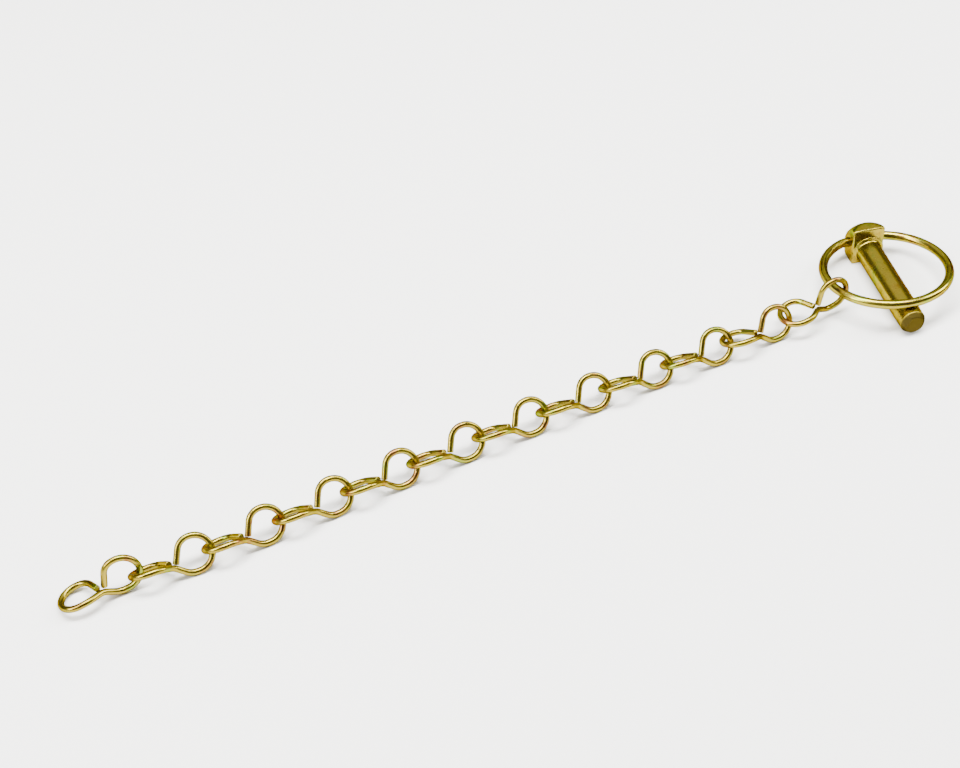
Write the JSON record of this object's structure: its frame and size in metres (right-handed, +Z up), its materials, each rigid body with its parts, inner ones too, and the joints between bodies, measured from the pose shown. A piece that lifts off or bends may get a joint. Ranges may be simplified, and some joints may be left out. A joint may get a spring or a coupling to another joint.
{
  "type": "linch pin with chain",
  "caption": "Linch pin with a spring-wire snap ring through its head and a wire-link retaining chain hooked to the ring, in yellow zinc plated steel.",
  "frame": {"origin": "on the pin's axis where its straight shank starts, at the end of the fillet under the head", "axes": "+Z up from the floor it lies on, the chain runs from the ring along -X to its free end, and the shank points along -Y in plan"},
  "size_m": [0.3485, 0.1104, 0.0175],
  "materials": {
    "pin_plating": "bright yellow zinc plating on a forged steel pin",
    "ring_plating": "bright yellow zinc plating on spring steel wire",
    "chain_plating": "bright yellow zinc plating on drawn steel wire"
  },
  "bodies": {
    "pin": {"pin": "pin_plating"},
    "ring": {"ring": "ring_plating"},
    "link_01": {"link_01": "chain_plating"},
    "link_02": {"link_02": "chain_plating"},
    "link_03": {"link_03": "chain_plating"},
    "link_04": {"link_04": "chain_plating"},
    "link_05": {"link_05": "chain_plating"},
    "link_06": {"link_06": "chain_plating"},
    "link_07": {"link_07": "chain_plating"},
    "link_08": {"link_08": "chain_plating"},
    "link_09": {"link_09": "chain_plating"},
    "link_10": {"link_10": "chain_plating"},
    "link_11": {"link_11": "chain_plating"},
    "link_12": {"link_12": "chain_plating"}
  },
  "joints": [
    {"name": "ring_swing", "type": "hinge", "parent": "pin", "child": "ring", "pos_m": [0, 0.00648, 0.00157], "axis": [-1, 0, 0], "range_deg": [0, 180]},
    {"name": "link_01_swing", "type": "hinge", "parent": "ring", "child": "link_01", "pos_m": [-0.02232, -0.02369, 0.00478], "axis": [-0.342, 0.9344, -0.0993], "range_deg": [-110, 110]},
    {"name": "link_02_swing", "type": "hinge", "parent": "link_01", "child": "link_02", "pos_m": [-0.04411, -0.0294, 0.00109], "axis": [0.1081, -0.3925, -0.9134], "range_deg": [-110, 110]},
    {"name": "link_03_swing", "type": "hinge", "parent": "link_02", "child": "link_03", "pos_m": [-0.07168, -0.03576, 0.00057], "axis": [0.1981, -0.8918, 0.4067], "range_deg": [-110, 110]},
    {"name": "link_04_swing", "type": "hinge", "parent": "link_03", "child": "link_04", "pos_m": [-0.09452, -0.04083, 0.00052], "axis": [-0.1259, 0.5596, 0.8191], "range_deg": [-110, 110]},
    {"name": "link_05_swing", "type": "hinge", "parent": "link_04", "child": "link_05", "pos_m": [-0.12215, -0.04695, 0.00045], "axis": [0.176, -0.8, 0.5736], "range_deg": [-110, 110]},
    {"name": "link_06_swing", "type": "hinge", "parent": "link_05", "child": "link_06", "pos_m": [-0.14491, -0.05241, 0.0005], "axis": [-0.1322, 0.5581, 0.8192], "range_deg": [-110, 110]},
    {"name": "link_07_swing", "type": "hinge", "parent": "link_06", "child": "link_07", "pos_m": [-0.17242, -0.05902, 0.00057], "axis": [-0.1924, 0.7962, -0.5736], "range_deg": [-110, 110]},
    {"name": "link_08_swing", "type": "hinge", "parent": "link_07", "child": "link_08", "pos_m": [-0.19508, -0.06486, 0.00052], "axis": [0.1502, -0.5536, -0.8191], "range_deg": [-110, 110]},
    {"name": "link_09_swing", "type": "hinge", "parent": "link_08", "child": "link_09", "pos_m": [-0.22242, -0.07218, 0.00045], "axis": [0.2108, -0.7916, 0.5736], "range_deg": [-110, 110]},
    {"name": "link_10_swing", "type": "hinge", "parent": "link_09", "child": "link_10", "pos_m": [-0.24496, -0.07848, 0.00052], "axis": [-0.1472, 0.5544, 0.8191], "range_deg": [-110, 110]},
    {"name": "link_11_swing", "type": "hinge", "parent": "link_10", "child": "link_11", "pos_m": [-0.27236, -0.08556, 0.00039], "axis": [0.2026, -0.7937, 0.5736], "range_deg": [-110, 110]},
    {"name": "link_12_swing", "type": "hinge", "parent": "link_11", "child": "link_12", "pos_m": [-0.29777, -0.09027, -0.00016], "axis": [-0.1329, 0.7876, -0.6017], "range_deg": [-110, 90]}
  ]
}
